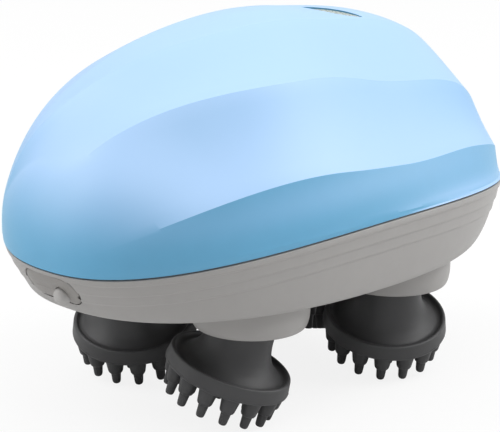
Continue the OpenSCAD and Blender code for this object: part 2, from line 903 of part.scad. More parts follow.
module circuit_board() {
  z = cradle_z + pcb_up;
  color([0.1, 0.35, 0.2])
  difference() {
    union() {
      translate([pcb_x, 0, z])
        linear_extrude(height = 1.6)
          soft_rect(pcb_len, 34, 2);
      translate([pcb_x - 6, -4, z + 1.5])
        cube([6, 6, 1.3]);
      translate([pcb_x + 5, -8, z + 1.5])
        cube([4, 5, 1.1]);
      translate([pcb_x + 5, 5, z + 1.5])
        cylinder(h = 6, r = 2.5);
      translate([pcb_x - 5, 7, z + 1.5])
        cube([7.6, 4.8, 5.6]);
    }
    for (x = [-pcb_post, pcb_post])
      for (y = [-13, 13])
        translate([pcb_x + x, y, z - 1])
          cylinder(h = 4, r = 0.95);
  }
}

module charge_socket() {
  color([0.6, 0.61, 0.63])
  difference() {
    union() {
      translate([tail_x - 8.7, 0, socket_z])
        rotate([90, 0, 90])
          linear_extrude(height = 7.2)
            pill(9, 3.2);
      translate([tail_x - 12.9, -7, carrier_low])
        cube([6.9, 14, board_t]);
    }
    translate([tail_x - 7.5, 0, socket_z])
      rotate([90, 0, 90])
        linear_extrude(height = 10)
          pill(8.3, 2.5);
  }
}

// ---------- fasteners ----------

module pan_screw(l) {
  cylinder(h = l, r = screw_r);
  translate([0, 0, -1.6])
    cylinder(h = 1.6, r = 2.4);
}

module plate_screws() {
  color([0.55, 0.56, 0.58])
  translate([0, 0, cradle_z])
    at_points(plate_posts)
      rotate([180, 0, 0])
        pan_screw(8);
}

module shell_screws() {
  color([0.55, 0.56, 0.58])
  translate([0, 0, belly_z + 3])
    at_points(shell_posts)
      pan_screw(join_z + 9 - belly_z - 3);
}

// ---------- one module for each head piece ----------

module head_a() {
  silicone(0);
}
module head_b() {
  silicone(1);
}
module head_c() {
  silicone(2);
}
module head_d() {
  silicone(3);
}
module core_a() {
  core(0);
}
module core_b() {
  core(1);
}
module core_c() {
  core(2);
}
module core_d() {
  core(3);
}
module spindle_a() {
  spindle(0);
}
module spindle_b() {
  spindle(1);
}
module spindle_c() {
  spindle(2);
}
module spindle_d_pin() {
  spindle(3);
}
module gear_a() {
  output_gear(0);
}
module gear_b() {
  output_gear(1);
}
module gear_c() {
  output_gear(2);
}
module gear_d() {
  output_gear(3);
}

top_shell();
lower_shell();
seam_seal();
indicator_lens();
light_board();
button_panel();
power_button();
switch_board();
head_a();
head_b();
head_c();
head_d();
core_a();
core_b();
core_c();
core_d();
spindle_a();
spindle_b();
spindle_c();
spindle_d_pin();
gear_a();
gear_b();
gear_c();
gear_d();
spindle_bushes();
idler_a();
idler_b();
idler_a_shaft();
idler_b_shaft();
drive_wheel();
gear_plate();
motor();
motor_pinion();
motor_bracket();
battery();
battery_cradle();
circuit_board();
charge_socket();
plate_screws();
shell_screws();
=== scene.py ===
import math

import bmesh
import bpy
import numpy as np
from mathutils import Matrix, Vector
from mathutils.bvhtree import BVHTree


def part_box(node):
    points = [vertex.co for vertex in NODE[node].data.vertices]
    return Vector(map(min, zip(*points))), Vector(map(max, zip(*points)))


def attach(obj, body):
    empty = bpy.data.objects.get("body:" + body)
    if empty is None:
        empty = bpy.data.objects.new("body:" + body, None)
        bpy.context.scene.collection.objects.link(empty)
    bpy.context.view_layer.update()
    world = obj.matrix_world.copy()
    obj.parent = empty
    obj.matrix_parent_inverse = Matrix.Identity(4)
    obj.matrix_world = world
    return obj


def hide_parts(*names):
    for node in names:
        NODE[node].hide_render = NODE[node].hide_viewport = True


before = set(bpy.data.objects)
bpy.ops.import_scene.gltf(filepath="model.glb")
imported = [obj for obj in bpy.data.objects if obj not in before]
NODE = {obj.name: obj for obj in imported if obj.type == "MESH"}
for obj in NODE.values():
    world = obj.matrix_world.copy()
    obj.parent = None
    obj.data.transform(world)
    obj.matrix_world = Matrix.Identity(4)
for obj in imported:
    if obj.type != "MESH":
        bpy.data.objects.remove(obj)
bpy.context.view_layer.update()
MM = 0.001

# ------------------------------------------------------------------ camera
# Named values, settled from the image points: a long lens from the front left.
CAM_AZ = -45.42
CAM_EL = 16.60
CAM_ROLL = 0.82
CAM_DIST = 0.8066
CAM_TARGET = (-0.00209, 0.00147, 0.04047)
CAM_LENS = 246.3
CAM_SHIFT = (0.0, 0.0)
SENSOR = 36.0
W, H = 500, 432
L = max(W, H)


def make_camera():
    a, e = math.radians(CAM_AZ), math.radians(CAM_EL)
    back = Vector((math.sin(a) * math.cos(e), -math.cos(a) * math.cos(e), math.sin(e)))
    right = Vector((0, 0, 1)).cross(back).normalized()
    up = back.cross(right).normalized()
    c, s = math.cos(math.radians(CAM_ROLL)), math.sin(math.radians(CAM_ROLL))
    r2 = right * c + up * s
    u2 = up * c - right * s
    data = bpy.data.cameras.new("photo_camera")
    data.sensor_fit = "AUTO"
    data.sensor_width = SENSOR
    data.lens = CAM_LENS
    data.shift_x, data.shift_y = CAM_SHIFT
    data.clip_start, data.clip_end = 0.01, 20.0
    data.dof.use_dof = False
    cam = bpy.data.objects.new("photo_camera", data)
    rot = Matrix((r2, u2, back)).transposed().to_4x4()
    cam.matrix_world = Matrix.Translation(Vector(CAM_TARGET) + back * CAM_DIST) @ rot
    bpy.context.scene.collection.objects.link(cam)
    bpy.context.scene.camera = cam
    bpy.context.view_layer.update()
    return cam


camera = make_camera()
CAM_M = camera.matrix_world.copy()
CAM_INV = CAM_M.inverted()


def to_pixel(p):
    """Pixel of a point in the row frame, x right and y down."""
    q = CAM_INV @ Vector(p)
    k = L * CAM_LENS / SENSOR / -q.z
    return (W / 2 + q.x * k - CAM_SHIFT[0] * L, H / 2 - q.y * k + CAM_SHIFT[1] * L)


def pixel_ray(x, y):
    d = Vector((x - W / 2 + CAM_SHIFT[0] * L, H / 2 - y + CAM_SHIFT[1] * L, -L * CAM_LENS / SENSOR))
    return CAM_M.translation, (CAM_M.to_3x3() @ d).normalized()


def place_at(x, y, carrier):
    """Where the ray through pixel x, y meets the carrier, or the nearest place to it."""
    tree = BVHTree.FromObject(carrier, bpy.context.evaluated_depsgraph_get())
    start, way = pixel_ray(x, y)
    hit = tree.ray_cast(start, way)
    if hit[0] is not None:
        return hit[0]
    best = None
    for k in range(200):
        p = start + way * (CAM_DIST - 0.12 + 0.24 * k / 199)
        near = tree.find_nearest(p)
        if near[0] is not None and (best is None or near[3] < best[3]):
            best = near
    return best[0]


# Image points in the photograph, in pixels.
POINTS = {
    "left_edge": (1.0, None),
    "right_edge": (498.0, None),
    "top_edge": (None, 3.0),
    "bottom_edge": (None, 431.0),
    "top_ridge_corner": (411.0, 24.7),
    "mid_ridge_corner": (463.6, 83.7),
    "low_ridge_corner": (494.7, 140.3),
    "top_ridge_mid": (197.7, 38.0),
    "mid_ridge_mid": (260.0, 87.0),
    "low_ridge_mid": (300.0, 184.0),
    "seam_front": (118.0, 280.5),
    "seam_mid": (300.0, 247.5),
    "seam_rear": (454.0, 200.0),
    "lens": (335.3, 13.3),
    "button": (60.4, 295.4),
    "panel_right_end": (79.5, 302.0),
    "near_front_head_left": (167.0, None),
    "near_front_head_bottom": (None, 430.0),
    "near_rear_head_right": (443.5, None),
}
# where the rays that place the lens opening and the button meet their carriers
LENS_MID = (331.8, 10.6)
BUTTON_FOOT = (63.0, 295.0)

# ------------------------------------------------------------------ sizes (mm)
# the shells show this far along x from the middle of their solids
BODY_X = -0.6
HALF_L = 68.1
HALF_W = 42.1
RISE = 42.0
SEAM_P = 2.275
SEAM_BOW = 6.3
SEAM_TILT = 1.6
WALL = 2.2
FLUTE = 1.2
SEAL_T = 0.5
COLLAR_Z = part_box("lower_shell")[0].z / MM
BELLY_Z = COLLAR_Z + 7.1
SEAM_Z = COLLAR_Z + 25.1
FLOOR_Z = BELLY_Z + WALL
LEAN = 18.5
PIVOT_Z = COLLAR_Z + 3.25
DRIVE_X = 0.6
# spindle x and y, lean direction and turn of the ring of fingers
HEADS = {
    "a": (-24 + DRIVE_X, -20, 122.5, 6.3),
    "b": (24 + DRIVE_X, -20, 59.6, 3.4),
    "c": (-24 + DRIVE_X, 20, 33.2, -2.3),
    "d": (24 + DRIVE_X, 20, 230.0, 0.0),
}
FACE_S = 16.5
FINGER = 7.5
RING_OUT = 12.15
RING_IN = 6.7
FINGERS_OUT = 14
FINGERS_IN = 7
FINGER_R_OUT = 2.45
FINGER_R_IN = 2.2
FINGER_SINK = 0.3
PANEL_Z = BELLY_Z + 6.05
PANEL_Y = 0.9
PANEL_W = 17.4
PANEL_H = 7.0
PANEL_GAP = 0.22
BUTTON_TIP = -HALF_L + 2.0


# ------------------------------------------------------------------ mesh helpers
def new_object(name, verts, faces, smooth=True, scale=MM):
    mesh = bpy.data.meshes.new(name)
    mesh.from_pydata([tuple(c * scale for c in v) for v in verts], [], faces)
    mesh.validate()
    mesh.update()
    obj = bpy.data.objects.new(name, mesh)
    bpy.context.scene.collection.objects.link(obj)
    if smooth:
        mesh.polygons.foreach_set("use_smooth", [True] * len(mesh.polygons))
    return obj


def band(a, b, n):
    """Four-sided faces between loops a and b of n points each."""
    return [(a * n + k, a * n + (k + 1) % n, b * n + (k + 1) % n, b * n + k) for k in range(n)]


def outward(obj):
    bm = bmesh.new()
    bm.from_mesh(obj.data)
    bmesh.ops.recalc_face_normals(bm, faces=bm.faces[:])
    bm.to_mesh(obj.data)
    bm.free()
    return obj


def baked(obj):
    """The object with its modifiers applied to its own mesh."""
    deps = bpy.context.evaluated_depsgraph_get()
    mesh = bpy.data.meshes.new_from_object(obj.evaluated_get(deps), depsgraph=deps)
    old = obj.data
    obj.modifiers.clear()
    obj.data = mesh
    bpy.data.meshes.remove(old)
    return obj


def sharpen(obj, angle):
    """Marks edges sharper than the angle, so that smooth shading keeps them."""
    bm = bmesh.new()
    bm.from_mesh(obj.data)
    for e in bm.edges:
        e.smooth = not (len(e.link_faces) == 2 and e.calc_face_angle(0) > math.radians(angle))
    for f in bm.faces:
        f.smooth = True
    bm.to_mesh(obj.data)
    bm.free()
    return obj


def cut(obj, cutter):
    m = obj.modifiers.new("cut", "BOOLEAN")
    m.operation = "DIFFERENCE"
    m.solver = "EXACT"
    m.object = cutter
    bpy.context.view_layer.update()
    baked(obj)
    bpy.data.objects.remove(cutter)
    return obj


def join(objs, name):
    bm = bmesh.new()
    for o in objs:
        bm.from_mesh(o.data)
    mesh = bpy.data.meshes.new(name)
    bm.to_mesh(mesh)
    bm.free()
    for o in objs:
        bpy.data.objects.remove(o)
    obj = bpy.data.objects.new(name, mesh)
    bpy.context.scene.collection.objects.link(obj)
    return obj


def revolve(name, profile, seg=96):
    """Profile of (radius, height) turned about Z, closed at the axis where the radius is 0."""
    verts, rows = [], []
    for r, z in profile:
        if r < 1e-6:
            rows.append([len(verts)])
            verts.append((0.0, 0.0, z))
        else:
            rows.append(list(range(len(verts), len(verts) + seg)))
            for k in range(seg):
                w = 2 * math.pi * k / seg
                verts.append((r * math.cos(w), r * math.sin(w), z))
    faces = []
    for a, b in zip(rows[:-1], rows[1:]):
        for k in range(seg):
            n = (k + 1) % seg
            if len(a) == 1 and len(b) == 1:
                continue
            if len(a) == 1:
                faces.append((a[0], b[n], b[k]))
            elif len(b) == 1:
                faces.append((a[k], a[n], b[0]))
            else:
                faces.append((a[k], a[n], b[n], b[k]))
    return outward(new_object(name, verts, faces))


def smooth_profile(points, per=6):
    """Catmull-Rom through (r, z) points, leaving repeated points as corners."""
    out = []
    n = len(points)
    for i in range(n - 1):
        p1, p2 = np.array(points[i], float), np.array(points[i + 1], float)
        p0 = np.array(points[max(0, i - 1)], float)
        p3 = np.array(points[min(n - 1, i + 2)], float)
        if np.allclose(p1, p2):
            continue
        if np.allclose(p0, p1):
            p0 = p1 * 2 - p2
        if np.allclose(p3, p2):
            p3 = p2 * 2 - p1
        for k in range(per):
            t = k / per
            q = 0.5 * (2 * p1 + (p2 - p0) * t + (2 * p0 - 5 * p1 + 4 * p2 - p3) * t * t
                       + (3 * p1 - 3 * p2 + p3 - p0) * t ** 3)
            out.append((max(0.0, float(q[0])), float(q[1])))
    out.append((float(points[-1][0]), float(points[-1][1])))
    return out


# ------------------------------------------------------------------ body shape
def width_at(x, a, b):
    t = np.minimum(1, np.abs(x) / a)
    return b * np.maximum(0, 1 - t ** SEAM_P) ** (1 / SEAM_P)


def seam_at(x):
    return SEAM_Z + SEAM_TILT * x / (2 * HALF_L) - SEAM_BOW * (x / HALF_L) ** 2


def tail(x):
    return 1 / (1 + np.exp(-x / 15.8))


def prof(x):
    return 2.325 * (1 - tail(x)) + 1.211 * tail(x)


def peak(x, h):
    return h * (1 + 1.563 * (max(0, x - 7.1) / (HALF_L - 7.1)) ** 2)


def ease(v):
    v = max(0.0, min(1.0, v))
    return v * v * (3 - 2 * v)


def ridges(x):
    low = 20.5 + 8 * ease((x + 11.4) / 50)
    q = max(0, -11.4 - x) / 55
    mid = 54 + 34.5 * q ** 2 + 8.6 * q ** 12
    q = max(0, 10.6 - x) / 70
    top = min(160, 80 + 33 * q ** 2 + 44 * q ** 12)
    return [0, low, mid, top] + [top + (180 - top) * f for f in (0.2, 0.46, 0.72)] + [180]


STRIPS = 7
GAIN = [1, 1, 1, 0.5, 0.7, 0.8, 1]


def dome_pt(x, q, a, b, h):
    c = math.cos(math.radians(q))
    tn = min(1, abs(x) / a) ** SEAM_P
    y = -float(width_at(x, a, b)) * math.copysign(abs(c) ** (2 / SEAM_P), c)
    pl = (tn + (1 - tn) * c * c) ** (1 / SEAM_P)
    m = float(prof(x))
    z = peak(x, h) * max(0, 1 - pl ** m) ** (1 / m)
    swell = 1 + 0.022 * math.exp(-((z - 6.3) / 6.3) ** 2) * max(0, min(1, z))
    return x, y * swell, z


def flute_pt(x, i, f, out=0.0):
    r = ridges(x)
    wide = r[i + 1] - r[i]
    q = r[i] + wide * f
    fade = ease((x + 67.4) / 26)
    dip = 1 - (2 * f - 1) ** 2
    soft = 0.05
    dip = math.sqrt(dip * dip + soft * soft) - soft if 0 < i < 6 else dip
    sink = FLUTE * GAIN[i] * (1 - math.cos(math.radians(wide / 2))) * dip * fade
    _, y, z = dome_pt(x, q, HALF_L, HALF_W, RISE)
    return x, y * (1 - sink), float(seam_at(x)) + z * (1 - sink)


NX = 200
PER = 14
MO = STRIPS * PER
MI = 28


def station(j, a):
    return -a * math.cos(math.pi * j / NX)


def build_dome():
    verts, rows_o, rows_i = [], [], []
    for j in range(1, NX):
        x = station(j, HALF_L)
        row = []
        for k in range(MO + 1):
            i = min(STRIPS - 1, k // PER)
            row.append(len(verts))
            verts.append(flute_pt(x, i, k / PER - i))
        rows_o.append(row)
    for j in range(1, NX):
        x = station(j, HALF_L - WALL)
        row = []
        for k in range(MI + 1):
            row.append(len(verts))
            _, y, z = dome_pt(x, 180 * k / MI, HALF_L - WALL, HALF_W - WALL, RISE - WALL - 1.2)
            verts.append((x, y * 0.985, float(seam_at(x)) + z))
        rows_i.append(row)
    poles = []
    for x in (-HALF_L, HALF_L, -HALF_L + WALL, HALF_L - WALL):
        poles.append(len(verts))
        verts.append((x, 0.0, float(seam_at(x))))
    faces = []
    for rows, flip in ((rows_o, False), (rows_i, True)):
        for a, b in zip(rows[:-1], rows[1:]):
            for k in range(len(a) - 1):
                f = (a[k], a[k + 1], b[k + 1], b[k])
                faces.append(f[::-1] if not flip else f)
    for pole, row, flip in ((poles[0], rows_o[0], 0), (poles[1], rows_o[-1], 1),
                            (poles[2], rows_i[0], 1), (poles[3], rows_i[-1], 0)):
        for k in range(len(row) - 1):
            f = (pole, row[k], row[k + 1])
            faces.append(f if not flip else f[::-1])
    for side in (0, -1):
        for j in range(len(rows_o) - 1):
            faces.append((rows_o[j][side], rows_o[j + 1][side],
                          rows_i[j + 1][side], rows_i[j][side]))
        faces.append((poles[0], rows_o[0][side], rows_i[0][side], poles[2]))
        faces.append((poles[1], rows_o[-1][side], rows_i[-1][side], poles[3]))
    return outward(new_object("dome_shell", verts, faces))


def drawn_in(x, u):
    """How far the bowl has drawn in at fraction u of its depth: along x and along y."""
    nose = 4.2 * u + u * u + u ** 5
    rear = 1.9 * u + 1.4 * u * u + 2.8 * u ** 5
    return nose if x < 0 else rear, 1.8 * u + 0.9 * u * u


def loop_pt(k, u, e):
    """Point k of a loop at depth fraction u, cut deeper by e; it starts at the nose."""
    s = station(k if k <= NX else 2 * NX - k, 1.0)
    along, across = drawn_in(s, u)
    a, b = HALF_L - along - e, HALF_W - across - 0.8 * e
    return a * s, (-1 if k <= NX else 1) * float(width_at(a * s, a, b))


def ring(e, d, f=0.0, flat=None, low=None):
    """Loop d under the seam and then fraction f of the way to low, or flat at a height."""
    low = BELLY_Z if low is None else low
    out = []
    for k in range(2 * NX):
        if flat is not None:
            x, y = loop_pt(k, 1.0, e)
            out.append((x, y, flat))
            continue
        top = float(seam_at(station(k if k <= NX else 2 * NX - k, HALF_L)))
        u = (d + f * (top - d - low)) / (top - BELLY_Z)
        x, y = loop_pt(k, u, e)
        z = float(seam_at(x)) - d
        out.append((x, y, z + f * (low - z)))
    return out


def loops_object(name, loops, gap=None):
    """Closed band through the loops; a gap after loop number gap gets a fan on each side."""
    n = len(loops[0])
    verts = [p for loop in loops for p in loop]
    faces = []
    for a in range(len(loops)):
        if a != gap:
            faces += band(a, (a + 1) % len(loops), n)
    for which in () if gap is None else (gap, gap + 1):
        c = len(verts)
        verts.append((0.0, 0.0, loops[which][0][2]))
        faces += [(which * n + k, which * n + (k + 1) % n, c) for k in range(n)]
    return outward(new_object(name, verts, faces))


# drop under the seam where the bowl turns in to the belly, and the depth of one fine step
TUCK = 8.05
STEP_IN = 0.3


def bowl_profile():
    """Outside of the bowl from the seam down: (cut, drop, fraction to the belly)."""
    pts = [(0.16, SEAL_T, 0), (0.0, SEAL_T + 0.16, 0)]
    for k, d in enumerate((2.1, 5.0, 7.8)):
        e = STEP_IN * k
        pts += [(e, d - 0.55, 0), (e, d - 0.12, 0), (e + 0.07, d, 0),
                (e + STEP_IN - 0.05, d + 0.12, 0), (e + STEP_IN, d + 0.25, 0),
                (e + STEP_IN, d + 0.6, 0)]
    smooth = smooth_profile([(0.9, 0.0), (0.9, 0.35), (0.95, 0.65), (1.05, 0.85), (1.35, 0.96),
                             (2.1, 1.0)], 5)
    pts += [(e, TUCK + 0.35, f) for e, f in smooth[1:-1]]
    return pts


def build_bowl():
    loops = [ring(e, d, f) for e, d, f in bowl_profile()]
    loops.append(ring(2.1, 0, flat=BELLY_Z))
    loops.append(ring(12.0, 0, flat=BELLY_Z))
    belly = len(loops) - 1
    loops += [ring(12.0, 0, flat=FLOOR_Z), ring(4.4, 0, flat=FLOOR_Z),
              ring(3.8, SEAL_T, 0.85, low=FLOOR_Z), ring(3.1, SEAL_T, 0.5, low=FLOOR_Z),
              ring(WALL, SEAL_T)]
    return loops_object("bowl_shell", loops, gap=belly)


def moved(obj, m):
    obj.data.transform(m)
    obj.data.update()
    return obj


def at_mm(x, y, z):
    return Matrix.Translation(Vector((x, y, z)) * MM)


def turn(deg, axis):
    return Matrix.Rotation(math.radians(deg), 4, axis)


def prism(name, outline, z0, z1):
    n = len(outline)
    verts = [(x, y, z0) for x, y in outline] + [(x, y, z1) for x, y in outline]
    faces = [tuple(range(n))[::-1], tuple(range(n, 2 * n))]
    faces += [(k, (k + 1) % n, n + (k + 1) % n, n + k) for k in range(n)]
    return outward(new_object(name, verts, faces, smooth=False))


def pill_outline(w, h, n=24):
    r = h / 2
    pts = []
    for k in range(n + 1):
        t = -math.pi / 2 + math.pi * k / n
        pts.append((w / 2 - r + r * math.cos(t), r * math.sin(t)))
    for k in range(n + 1):
        t = math.pi / 2 + math.pi * k / n
        pts.append((-w / 2 + r + r * math.cos(t), r * math.sin(t)))
    return pts


def leaf_outline(l, w, n=40):
    r = (l * l / 4 + w * w / 4) / w
    half = math.asin(l / 2 / r)
    pts = []
    for k in range(n + 1):
        t = -half + 2 * half * k / n
        pts.append((r * math.sin(t), w / 2 - r + r * math.cos(t)))
    pts += [(-x, -y) for x, y in pts[1:-1]]
    return pts


# local +Z to world +X, local x to world y, local y to world z
TO_FRONT = Matrix(((0, 0, 1, 0), (1, 0, 0, 0), (0, 1, 0, 0), (0, 0, 0, 1)))


# ------------------------------------------------------------------ bowl, cups, panel, button
SOCKET_Z = BELLY_Z + 7.2
SHELL_POSTS = [(-HALF_L + 15.6, 0.0), (HALF_L - 17.5, 17.0), (HALF_L - 17.5, -17.0)]


def make_bowl():
    bowl = moved(build_bowl(), at_mm(BODY_X, 0, 0))
    cutters = [moved(prism("pocket", pill_outline(PANEL_W, PANEL_H), 0, 10),
                     at_mm(-HALF_L - 3, PANEL_Y, PANEL_Z) @ TO_FRONT),
               moved(prism("slot", pill_outline(9.1, 3.3), 0, 10),
                     at_mm(HALF_L - 7.5, 0, SOCKET_Z) @ TO_FRONT)]
    for x, y in SHELL_POSTS:
        cutters.append(moved(revolve("hole", [(0, -1), (2.6, -1), (2.6, 3), (0, 3)], 40),
                             at_mm(x, y, BELLY_Z)))
    for x, y, _, _ in HEADS.values():
        cutters.append(moved(revolve("hole", [(0, -1), (4.2, -1), (4.2, 4), (0, 4)], 48),
                             at_mm(x, y, BELLY_Z)))
    cut(bowl, join(cutters, "cutters"))
    sharpen(bowl, 42)
    parts = [bowl]
    for x, y, _, _ in HEADS.values():
        arc = []
        for k in range(13):
            w = math.radians(90 * k / 12)
            arc.append((13.8 - 4.5 * 0.28 * (1 - math.sin(w)), 4.5 * (1 - math.cos(w))))
        line = [(12.2, 7.6), (12.2, 0.5), (12.24, 0.2), (12.4, 0.04)] + arc + [(13.8, 7.6)]
        parts.append(moved(sharpen(revolve("cup", line, 120), 50), at_mm(x, y, COLLAR_Z)))
    whole = join(parts, "bowl_shell")
    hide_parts("lower_shell")
    return whole


def front_x(y, z, deep):
    """x of the plain nose face at y, z and deep mm below it."""
    x = -HALF_L
    for _ in range(6):
        top = float(seam_at(x))
        drop = top - z
        along, across = drawn_in(-1, drop / (top - BELLY_Z))
        e = 0.11 * drop + deep
        a, b = HALF_L - along - e, HALF_W - across - 0.8 * e
        x = -a * (1 - min(1, abs(y) / b) ** SEAM_P) ** (1 / SEAM_P)
    return x


def make_panel():
    insets = [(0.02, 3.6), (0.02, 0.9), (PANEL_GAP, 0.85), (PANEL_GAP, 0.2), (0.35, 0.07),
              (0.6, 0.03), (1.1, 0.03), (2.0, 0.03), (2.8, 0.03)]
    verts, n = [], 0
    for d, deep in insets:
        outline = pill_outline(PANEL_W - 2 * d, PANEL_H - 2 * d, 20)
        n = len(outline)
        for y, z in outline:
            y += PANEL_Y
            verts.append((front_x(y, PANEL_Z + z, deep), y, PANEL_Z + z))
    faces = []
    for a in range(len(insets) - 1):
        faces += band(a, a + 1, n)
    last = (len(insets) - 1) * n
    for k in range(n // 2 - 1):
        faces.append((last + k, last + k + 1, last + n - 2 - k, last + n - 1 - k))
    faces.append(tuple(range(n))[::-1])
    plate = moved(outward(new_object("panel_plate", verts, faces)), at_mm(BODY_X, 0, 0))
    foot = place_at(*BUTTON_FOOT, plate)
    where = (foot.y / MM, foot.z / MM)
    tools = [moved(revolve("hole", [(0, -1), (2.06, -1), (2.06, 9), (0, 9)], 48),
                   at_mm(-HALF_L - 3, *where) @ TO_FRONT)]
    tools.append(moved(prism("notch", pill_outline(1.5, 1.1, 10), -1, 9),
                       at_mm(-HALF_L - 3, PANEL_Y - PANEL_W / 2 + 0.1, PANEL_Z - 0.9) @ TO_FRONT))
    cut(plate, join(tools, "cutters"))
    sharpen(plate, 40)
    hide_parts("button_panel")
    return plate, where


def make_button(where):
    line = smooth_profile([(0, 0), (0.7, 0.07), (1.35, 0.36), (1.75, 0.86), (1.93, 1.5),
                           (2.0, 2.2)], 6)
    line += [(2.0, 5.0), (2.7, 5.0), (2.7, 5.8), (0, 5.8)]
    cap = sharpen(revolve("button_cap", line, 64), 50)
    moved(cap, at_mm(BUTTON_TIP + BODY_X, *where) @ TO_FRONT)
    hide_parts("power_button")
    return cap


def make_seal():
    g = 0.02
    loops = [ring(0.6, g), ring(0.6, SEAL_T - g), ring(1.6, SEAL_T - g), ring(1.6, g)]
    seal = moved(sharpen(loops_object("seal_ring", loops), 40), at_mm(BODY_X, 0, 0))
    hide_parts("seam_seal")
    return seal


# ------------------------------------------------------------------ lens
LENS_TURN = -33.0
LENS_LEN, LENS_WID, LENS_SINK, LENS_T = 15.2, 4.8, 0.95, 4.1


def skin_z(x, y):
    """Height of the plain dome over x, y in mm."""
    tn = min(1, abs(x) / HALF_L) ** SEAM_P
    b = float(width_at(x, HALF_L, HALF_W))
    ratio = min(1, abs(y) / b)
    pl = min(1, (tn + (1 - tn) * ratio ** SEAM_P)) ** (1 / SEAM_P)
    m = float(prof(x))
    return float(seam_at(x)) + peak(x, RISE) * max(0, 1 - pl ** m) ** (1 / m)


def lens_matrix(x, y):
    """Level with the dome at x, y: turned about X first, then Y, then Z."""
    dx = (skin_z(x + 2, y) - skin_z(x - 2, y)) / 4
    dy = (skin_z(x, y + 1) - skin_z(x, y - 1)) / 2
    return (at_mm(x, y, skin_z(x, y) - LENS_SINK) @ turn(LENS_TURN, "Z")
            @ turn(-math.degrees(math.atan(dx)), "Y") @ turn(math.degrees(math.atan(dy)), "X"))


def make_lens(seat):
    rings = [(0.0, -LENS_T), (0.0, -0.35), (0.08, -0.12), (0.25, 0.0), (0.7, 0.08), (1.2, 0.12),
             (1.9, 0.14)]
    verts, n = [], 0
    for d, z in rings:
        outline = leaf_outline(LENS_LEN - 3.2 * d, LENS_WID - 2 * d, 24)
        n = len(outline)
        verts += [(x, y, z) for x, y in outline]
    faces = [tuple(range(n))[::-1]]
    for a in range(len(rings) - 1):
        faces += band(a, a + 1, n)
    last = (len(rings) - 1) * n
    faces.append(tuple(range(last, last + n)))
    lens = sharpen(outward(new_object("lens_cap", verts, faces)), 50)
    moved(lens, seat)
    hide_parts("indicator_lens")
    return lens


def make_dome():
    dome = moved(build_dome(), at_mm(BODY_X, 0, 0))
    mid = place_at(*LENS_MID, dome)
    seat = at_mm(BODY_X, 0, 0) @ lens_matrix(mid.x / MM - BODY_X, mid.y / MM)
    cut(dome, moved(prism("hole", leaf_outline(LENS_LEN + 0.1, LENS_WID + 0.1, 40), -8, 4), seat))
    sharpen(dome, 12)
    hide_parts("top_shell")
    return dome, seat


# ------------------------------------------------------------------ heads
def finger(l, r):
    """Wide cone, a step near its middle and a blunt tip."""
    line = smooth_profile([(r * 1.16, 0), (r, 0.35), (r * 0.9, l * 0.18), (r * 0.8, l * 0.38),
                           (r * 0.73, l * 0.52)], 4)
    line += smooth_profile([(r * 0.67, l * 0.56), (r * 0.56, l * 0.575), (r * 0.5, l * 0.61),
                            (r * 0.45, l * 0.78), (r * 0.41, l * 0.92), (r * 0.31, l * 0.985),
                            (0, l)], 4)
    return revolve("finger", [(0, 0)] + line, 28)


def make_head(key):
    x, y, phase, twist = HEADS[key]
    stem = [(6.6, -1.2), (7.0, -1.15), (7.3, -0.95), (7.48, -0.6), (7.5, 0.8), (7.5, 4.0),
            (7.8, 7.2), (8.55, 9.9), (9.8, 12.0), (11.1, 13.2), (11.9, 13.75)]
    dish = [(12.3, 13.9), (12.75, 13.9), (13.15, 13.72), (13.45, 13.4)]
    band = [(13.65, 13.16), (13.95, 13.08), (14.25, 13.16), (14.45, 13.45), (14.6, 14.3),
            (14.78, 15.4), (14.85, 15.92)]
    lip = [(14.83, 16.0), (14.9, 16.1), (14.93, 16.35), (14.85, 16.62), (14.6, 16.78),
           (14.1, 16.8), (13.8, 16.7), (13.5, FACE_S), (12.6, FACE_S), (0, FACE_S)]
    line = [(0, -1.2)] + smooth_profile(stem + dish + band, 4) + lip
    parts = [revolve("skin", line, 160)]
    foot = FACE_S - FINGER_SINK
    for k in range(FINGERS_OUT):
        w = math.radians(360 * (k + 0.5) / FINGERS_OUT + twist)
        parts.append(moved(finger(FINGER + FINGER_SINK, FINGER_R_OUT),
                           at_mm(RING_OUT * math.cos(w), RING_OUT * math.sin(w), foot)))
    for k in range(FINGERS_IN):
        w = 2 * math.pi * k / FINGERS_IN
        parts.append(moved(finger(FINGER - 0.4, FINGER_R_IN),
                           at_mm(RING_IN * math.cos(w), RING_IN * math.sin(w), foot)))
    parts.append(moved(finger(FINGER - 0.6, FINGER_R_IN), at_mm(0, 0, foot)))
    head = join(parts, "head_skin_" + key)
    sharpen(head, 60)
    moved(head, at_mm(x, y, PIVOT_Z) @ turn(phase, "Z") @ turn(180 - LEAN, "Y"))
    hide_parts("head_" + key)
    return head


# ------------------------------------------------------------------ finishes
def lin(c):
    c = c / 255
    return c / 12.92 if c <= 0.04045 else ((c + 0.055) / 1.055) ** 2.4


# noise scales of the colour clouds and of the fine grain, the spread of the roughness, and the
# upward normal at which the painted sheen, a paler colour on upward faces, is full
CLOUD_SCALE = 260.0
GRAIN_SCALE = 1800.0
ROUGH_SPREAD = 0.05
SHEEN_PAINT_FULL = 0.74


